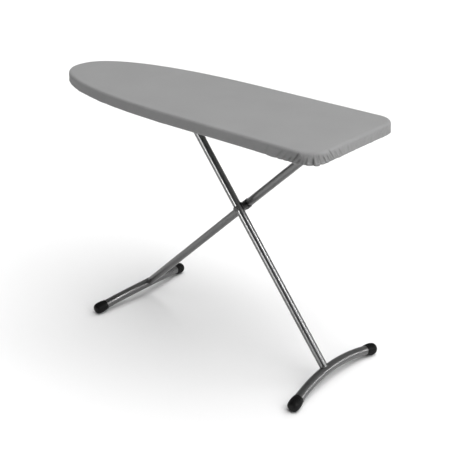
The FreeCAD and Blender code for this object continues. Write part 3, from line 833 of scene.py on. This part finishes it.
# %% Turn a pattern into a piece
def grow(name, pattern, guide, finish, body, slot_name, **sizes):
    """Runs a pattern on its guide and keeps the result as a plain piece on one body."""
    modifier = guide.modifiers.new("pattern", "NODES")
    modifier.node_group = pattern.tree
    given = {"Finish": finish, **sizes}
    for item in pattern.tree.interface.items_tree:
        if item.in_out == "INPUT" and item.name in given:
            modifier[item.identifier] = given[item.name]
    bpy.context.view_layer.update()
    shown = guide.evaluated_get(bpy.context.evaluated_depsgraph_get())
    mesh = bpy.data.meshes.new_from_object(shown)
    guide.modifiers.remove(modifier)
    bpy.data.objects.remove(guide)
    piece = bpy.data.objects.new(name, mesh)
    bpy.context.scene.collection.objects.link(piece)
    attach(piece, body)
    print(name, "faces", len(mesh.polygons))
    return piece


def guide_line(points, closed=True):
    """A guide made of points joined in a row."""
    mesh = bpy.data.meshes.new("guide")
    count = len(points)
    joins = [(i, (i + 1) % count) for i in range(count if closed else count - 1)]
    mesh.from_pydata([tuple(map(float, p)) for p in points], joins, [])
    guide = bpy.data.objects.new("guide", mesh)
    bpy.context.scene.collection.objects.link(guide)
    return guide


# %% [markdown]
# ## The seam of the hem
# The hem is a casing: the cloth's edge is folded over the elastic and sewn down with one row of
# lock stitches, which runs round the bottom of the skirt. The row follows the settled cloth, in and out
# of every gather, so its guide is taken from the cover's own points, a hair outside the cloth.

# %% Sew the hem
def stitch_pattern():
    row = Pattern("stitch_row", Spacing=0.0036, Length=0.0026, Thickness=0.0005, Lean=0.12, Seed=5)
    path = row.node("GeometryNodeMeshToCurve", {}, {"Mesh": row.given("Guide")})
    settings = {"mode": "LENGTH"}
    placing = {"Curve": path, "Length": row.given("Spacing")}
    points = row.node("GeometryNodeCurveToPoints", settings, placing)
    tangent = Wire(row, points.socket.node.outputs["Tangent"])
    sockets = {"Segments": 6, "Rings": 4, "Radius": 0.5}
    capsule = row.node("GeometryNodeMeshUVSphere", {}, sockets)
    chance = {2: 0.0, 3: row.given("Lean"), 8: row.given("Seed")}
    lean = row.node("FunctionNodeRandomValue", {"data_type": "FLOAT"}, chance, out=1)
    upright = row.node("ShaderNodeCombineXYZ", {}, {2: lean})
    heading = row.node("ShaderNodeVectorMath", {"operation": "ADD"}, {0: tangent, 1: upright})
    turn = row.node("FunctionNodeAlignRotationToVector", {"axis": "Z"}, {"Vector": heading})
    sizes = {0: row.given("Thickness"), 1: row.given("Thickness"), 2: row.given("Length")}
    scale = row.node("ShaderNodeCombineXYZ", {}, sizes)
    row.repeat(points, capsule, Rotation=turn, Scale=scale)
    return row


stitch_row = stitch_pattern()
seam_run = 0.0665
seam_lift = 0.0001
seam_ring = int(np.argmin(np.abs(runs - seam_run)))
seam_points = cover_points[seam_ring * column_count:(seam_ring + 1) * column_count]
seam_guide = guide_line(seam_points + np.column_stack((out * seam_lift, np.zeros(column_count))))
hem_seam = grow("hem_seam", stitch_row, seam_guide, thread, "deck", "cover_cloth", Spacing=0.0036)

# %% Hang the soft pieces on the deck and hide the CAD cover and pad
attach(cover, "deck")
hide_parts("cover")
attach(pad, "deck")
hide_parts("pad")

# %% [markdown]
# ## Where the feet are
# Each leg ends in a bent foot: a crown across the leg's end, an arch on each side and a short straight
# end that takes the rubber cap. The same few sizes that place the steel place the caps and the welds,
# so they are worked out once for each leg.

# %% Work out the feet
pivot_height = 0.834
foot_rise = 0.037
foot_straight = 0.048
foot_radius = 0.0165
leg_radius = 0.014
cap_radius = 0.0205
cap_length = 0.050
cap_drop = 0.013
tread_depth = 0.001


class Foot:
    """One leg's foot: its crown, its arch and its two tips."""

    def __init__(self, top_x, y, slope, forward, span):
        self.y = y
        self.down = np.array([forward * math.cos(slope), 0.0, -math.sin(slope)])
        self.turn = 2 * math.atan(foot_rise / (span / 2 + foot_straight))
        sine = math.sin(self.turn)
        self.radius = (foot_rise - foot_straight * sine) / (1 - math.cos(self.turn))
        tip_slope = sine * math.sin(slope)
        tip_height = cap_radius * math.sqrt(1 - tip_slope**2) - cap_drop * tip_slope - tread_depth
        reach = (pivot_height - tip_height) / math.sin(slope) - foot_rise
        self.crown = np.array([top_x, 0.0, pivot_height]) + self.down * reach
        self.centre = self.crown + self.down * self.radius

    def tip_direction(self, side):
        return np.array([0.0, side * math.cos(self.turn), 0.0]) + self.down * math.sin(self.turn)

    def cap_mouth(self, side):
        across = np.array([0.0, side * math.sin(self.turn), 0.0])
        bend_end = self.centre + (across - self.down * math.cos(self.turn)) * self.radius
        return bend_end + self.tip_direction(side) * (foot_straight - cap_length)


heel_foot = Foot(-0.073, -0.023, sliding_slope, 1, 0.477)
nose_foot = Foot(0.504, 0.023, pivot_slope, -1, 0.470)
print("crowns", heel_foot.crown.round(4), nose_foot.crown.round(4))

# %% [markdown]
# ## Rubber caps
# A cap is a thick rubber cup that is pushed over the tube's end. It is snug at the mouth, swells towards
# the floor and ends in a round nose with a worn, flat tread. Turning a section round the foot's line
# gives the body. The grip ribs are a pattern: one ring, repeated along the cap and scaled to the body's
# radius there.

# %% Turn a cap
cap_profile = [
    (0.0, 41.0), (16.55, 41.0), (16.55, 0.5), (16.9, 0.05), (17.6, 0.0), (18.1, 0.4), (18.35, 1.5),
    (18.4, 5.0), (18.5, 6.0), (18.9, 7.5), (19.5, 11.0), (20.0, 17.0), (20.3, 24.0), (20.45, 31.0),
    (20.45, 34.0), (20.1, 37.2), (19.0, 40.8), (17.1, 44.1), (14.5, 46.7), (11.3, 48.6), (7.6, 49.7),
    (3.8, 50.0), (0.0, 50.0),
]
cap_around = 64


def turned(profile, start, direction, around):
    """Points and faces of a section in millimetres, turned round a line."""
    aside = np.cross(direction, [0.0, 0.0, 1.0])
    aside /= np.linalg.norm(aside)
    above = np.cross(aside, direction)
    angles = np.arange(around) * 2 * math.pi / around
    ring = np.cos(angles)[:, None] * aside + np.sin(angles)[:, None] * above
    inner = [
        start + direction * distance / 1000 + ring * radius / 1000 for radius, distance in profile[1:-1]
    ]
    ends = np.array([start + direction * profile[i][1] / 1000 for i in (0, -1)])
    points = np.vstack(inner + [ends])
    steps = np.arange(around)
    after = (steps + 1) % around
    faces = ring_faces(len(inner), around)[:-2]
    last_ring = (len(inner) - 1) * around
    hub, tip = len(points) - 2, len(points) - 1
    faces += [[hub, int(a), int(b)] for a, b in zip(steps, after)]
    faces += [[tip, int(last_ring + b), int(last_ring + a)] for a, b in zip(steps, after)]
    return points, faces


def outward(piece):
    """Turns every face of a closed piece outwards."""
    shape = bmesh.new()
    shape.from_mesh(piece.data)
    bmesh.ops.recalc_face_normals(shape, faces=shape.faces)
    shape.to_mesh(piece.data)
    shape.free()


def make_cap(name, node, foot, side, body):
    points, faces = turned(cap_profile, foot.cap_mouth(side), foot.tip_direction(side), cap_around)
    points[:, 2] = np.maximum(points[:, 2], 0.0)
    cap = mesh_piece(name, points, faces, rubber)
    outward(cap)
    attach(cap, body)
    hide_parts(node)
    return cap


# %% A ring for every rib
ring_radius = 0.016


def rib_pattern():
    """Rings round a line: each point of the guide carries its ring's radius and direction."""
    ribs = Pattern("rib_rings", Roundness=0.0007)
    facing = {"data_type": "FLOAT_VECTOR"}
    axis = ribs.node("GeometryNodeInputNamedAttribute", facing, {"Name": "direction"})
    reach = ribs.node("GeometryNodeInputNamedAttribute", {"data_type": "FLOAT"}, {"Name": "reach"})
    large = {"Resolution": 56, "Radius": ring_radius}
    small = {"Resolution": 8, "Radius": ribs.given("Roundness")}
    ring = ribs.node("GeometryNodeCurvePrimitiveCircle", {}, large)
    section = ribs.node("GeometryNodeCurvePrimitiveCircle", {}, small)
    hoop = ribs.node("GeometryNodeCurveToMesh", {}, {"Curve": ring, "Profile Curve": section})
    points = ribs.node("GeometryNodeMeshToPoints", {}, {"Mesh": ribs.given("Guide")})
    turn = ribs.node("FunctionNodeAlignRotationToVector", {"axis": "Z"}, {"Vector": axis})
    wider = reach * (1 / ring_radius)
    wide = ribs.node("ShaderNodeCombineXYZ", {}, {0: wider, 1: wider, 2: 1.0})
    ribs.repeat(points, hoop, Rotation=turn, Scale=wide)
    return ribs


def ring_guide(places, radii, direction):
    guide = guide_line(places, closed=False)
    directions = guide.data.attributes.new("direction", "FLOAT_VECTOR", "POINT")
    directions.data.foreach_set("vector", np.tile(direction, len(places)).astype(np.float32))
    reaches = guide.data.attributes.new("reach", "FLOAT", "POINT")
    reaches.data.foreach_set("value", np.array(radii, np.float32))
    return guide


rib_rings = rib_pattern()
cap_ribs = [(9.5, 19.0), (13.5, 19.5), (17.5, 19.8), (21.5, 19.95), (25.5, 20.1), (29.5, 20.2)]
for foot, word, body in ((heel_foot, "heel", "sliding_leg"), (nose_foot, "nose", "pivot_leg")):
    for side, where in ((-1, "near"), (1, "far")):
        name = f"{word}_cap_{where}"
        make_cap(name, f"{word}_foot_cap_{where}", foot, side, body)
        direction = foot.tip_direction(side)
        places = [foot.cap_mouth(side) + direction * distance / 1000 for distance, _ in cap_ribs]
        guide = ring_guide(places, [radius / 1000 for _, radius in cap_ribs], direction)
        grow(name + "_ribs", rib_rings, guide, rubber, body, "cap_rubber")

# %% [markdown]
# ## Welds at the feet
# The leg's tube is cut to saddle the foot's tube and welded all round. A weld is a row of small frozen
# ripples, each lapping the last, painted over with the tube. The guide is the line where the two round
# tubes meet, and the pattern lays a flattened bead at each step.

# %% Lay the weld beads
def weld_pattern():
    weld = Pattern("weld_ripples", Step=0.0017, Bead=0.0021, Uneven=0.22, Seed=9)
    path = weld.node("GeometryNodeMeshToCurve", {}, {"Mesh": weld.given("Guide")})
    placing = {"Curve": path, "Length": weld.given("Step")}
    points = weld.node("GeometryNodeCurveToPoints", {"mode": "LENGTH"}, placing)
    tangent = Wire(weld, points.socket.node.outputs["Tangent"])
    bead = weld.node("GeometryNodeMeshUVSphere", {}, {"Segments": 10, "Rings": 6, "Radius": 1.0})
    turn = weld.node("FunctionNodeAlignRotationToVector", {"axis": "Z"}, {"Vector": tangent})
    uneven = weld.given("Uneven")
    chance = {2: 1.0 - uneven, 3: 1.0 + uneven, 8: weld.given("Seed")}
    swing = weld.node("FunctionNodeRandomValue", {"data_type": "FLOAT"}, chance, out=1)
    width = swing * weld.given("Bead")
    scale = weld.node("ShaderNodeCombineXYZ", {}, {0: width, 1: width, 2: width * 0.75})
    weld.repeat(points, bead, Rotation=turn, Scale=scale)
    return weld


def saddle_line(foot):
    """Where the leg's tube meets the foot's crown."""
    aside = np.cross(foot.down, [0.0, 1.0, 0.0])
    line_points = []
    for angle in np.linspace(0, 2 * math.pi, 72, endpoint=False):
        across = foot.y + leg_radius * math.cos(angle)
        sideways = leg_radius * math.sin(angle)
        up = math.sqrt(foot_radius**2 - sideways**2) - across**2 / (2 * foot.radius)
        line_points.append(foot.crown + aside * sideways + np.array([0, across, 0]) - foot.down * up)
    return np.array(line_points)


weld_ripples = weld_pattern()
heel_bead = guide_line(saddle_line(heel_foot))
nose_bead = guide_line(saddle_line(nose_foot))
grow("heel_foot_weld", weld_ripples, heel_bead, foot_steel, "sliding_leg", "leg_steel")
grow("nose_foot_weld", weld_ripples, nose_bead, foot_steel, "pivot_leg", "leg_steel")

# %% [markdown]
# ## Ribs on the lever's grip
# The release lever is pulled with the fingers, so its grip has moulded ribs. They are the same ring
# pattern as on the caps, along the grip's line.

# %% Rib the grip
grip_low, grip_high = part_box("lever_grip")
grip_centre = (Vector(grip_low) + Vector(grip_high)) / 2
grip_radius = 0.0098
grip_spacing = 0.005
grip_steps = np.arange(grip_low[1] + 2 * grip_spacing, grip_high[1] - 0.009, grip_spacing)
grip_places = np.array([(grip_centre.x, y, grip_centre.z) for y in grip_steps])
grip_guide = ring_guide(grip_places, [grip_radius] * len(grip_steps), np.array([0.0, 1.0, 0.0]))
grow("grip_ribs", rib_rings, grip_guide, plastic, "release_lever", "black_plastic", Roundness=0.0008)

# %% [markdown]
# ## Studio
# The board stands on a plain white floor in soft light, as in a catalogue: a room that is dim in front and
# bright beyond the board, a wide light from above that leaves a faint pool of shade under it, and a smaller
# one from the heel's side. Very wide suns keep the floor white, which lamps near the floor would not. Three
# narrow ones draw the bright streaks down the sliding leg and along the feet, and a panel over the heel
# makes the cloth a little lighter there. The wide one leaves no shine, or the tubes would look flat.

# %% Floor and lights
floor_reach = 30
floor_drop = 0.0002


def make_floor():
    paper = Finish("white_floor", Roughness=0.9, Specular_IOR_Level=0.1)
    paper.shader.inputs["Base Color"].default_value = (0.9, 0.9, 0.9, 1)
    signs = ((-1, -1), (1, -1), (1, 1), (-1, 1))
    corners = [(floor_reach * x, floor_reach * y, -floor_drop) for x, y in signs]
    floor = mesh_piece("floor", corners, [(0, 1, 2, 3)], paper.material)


def add_lamp(name, kind, strength, towards):
    lamp = bpy.data.objects.new(name, bpy.data.lights.new(name, kind))
    lamp.data.energy = strength
    lamp.rotation_mode = "QUATERNION"
    lamp.rotation_quaternion = towards.to_track_quat("-Z", "Y")
    bpy.context.scene.collection.objects.link(lamp)
    return lamp


def add_sun(name, strength, spread, towards, on_cloth=True, on_metal=True):
    """A very distant light, which can leave out either the dull surfaces or the shiny ones."""
    sun = add_lamp(name, "SUN", strength, Vector(towards))
    sun.data.angle = math.radians(spread)
    sun.visible_diffuse = on_cloth
    sun.visible_glossy = on_metal


def add_panel(name, strength, side, place, aim):
    """A square soft light that fades with distance."""
    panel = add_lamp(name, "AREA", strength, Vector(aim) - Vector(place))
    panel.data.size = side
    panel.location = place
    panel.visible_glossy = False


def add_sky(near, far):
    """A white room that is brighter beyond the board than in front of it."""
    world = bpy.data.worlds.new("studio")
    world.use_nodes = True
    room = Tree(world.node_tree)
    towards = room.node("ShaderNodeTexCoord", {}, {})
    wall = world.node_tree.nodes["Background"]
    wall.inputs["Color"].default_value = (1, 1, 1, 1)
    room.feed(wall.inputs["Strength"], towards.part(1).ramp(-0.8, 0.8, near, far))
    bpy.context.scene.world = world


make_floor()
add_sky(0.02, 0.44)
add_sun("top_light", 3.00, 70, (-0.24, -0.14, -1.0), on_metal=False)
add_sun("heel_light", 0.75, 40, (-1.0, 0.05, -0.40))
add_sun("side_streak", 0.85, 11, (0.04, 1.0, -0.06), on_cloth=False)
add_sun("key_streak", 0.90, 8, (-0.75, -0.26, -0.61), on_cloth=False)
add_sun("foot_streak", 0.36, 9, (-0.69, -0.68, -0.25), on_cloth=False)
add_panel("heel_panel", 2.6, 1.0, (1.15, -0.20, 1.70), (0.45, 0.0, 0.87))
print("floor and lights set")

# %% The camera
view_turn = math.radians(41.27)
view_rise = math.radians(25.816)
view_target = Vector((0.10585, 0.01148, 0.36708))
view_distance = 3.2096
picture_width = 450


def add_camera():
    back = Vector((
        math.sin(view_turn) * math.cos(view_rise),
        -math.cos(view_turn) * math.cos(view_rise),
        math.sin(view_rise),
    ))
    lens = bpy.data.cameras.new("studio_camera")
    lens.sensor_width = 36
    lens.lens = 918.609 / picture_width * 36
    lens.shift_x = -4.154 / picture_width
    lens.shift_y = 15.026 / picture_width
    camera = bpy.data.objects.new("studio_camera", lens)
    camera.location = view_target + back * view_distance
    camera.rotation_mode = "QUATERNION"
    camera.rotation_quaternion = (-back).to_track_quat("-Z", "Y")
    bpy.context.scene.collection.objects.link(camera)
    bpy.context.scene.camera = camera
    bpy.context.scene.view_settings.view_transform = "Standard"


add_camera()
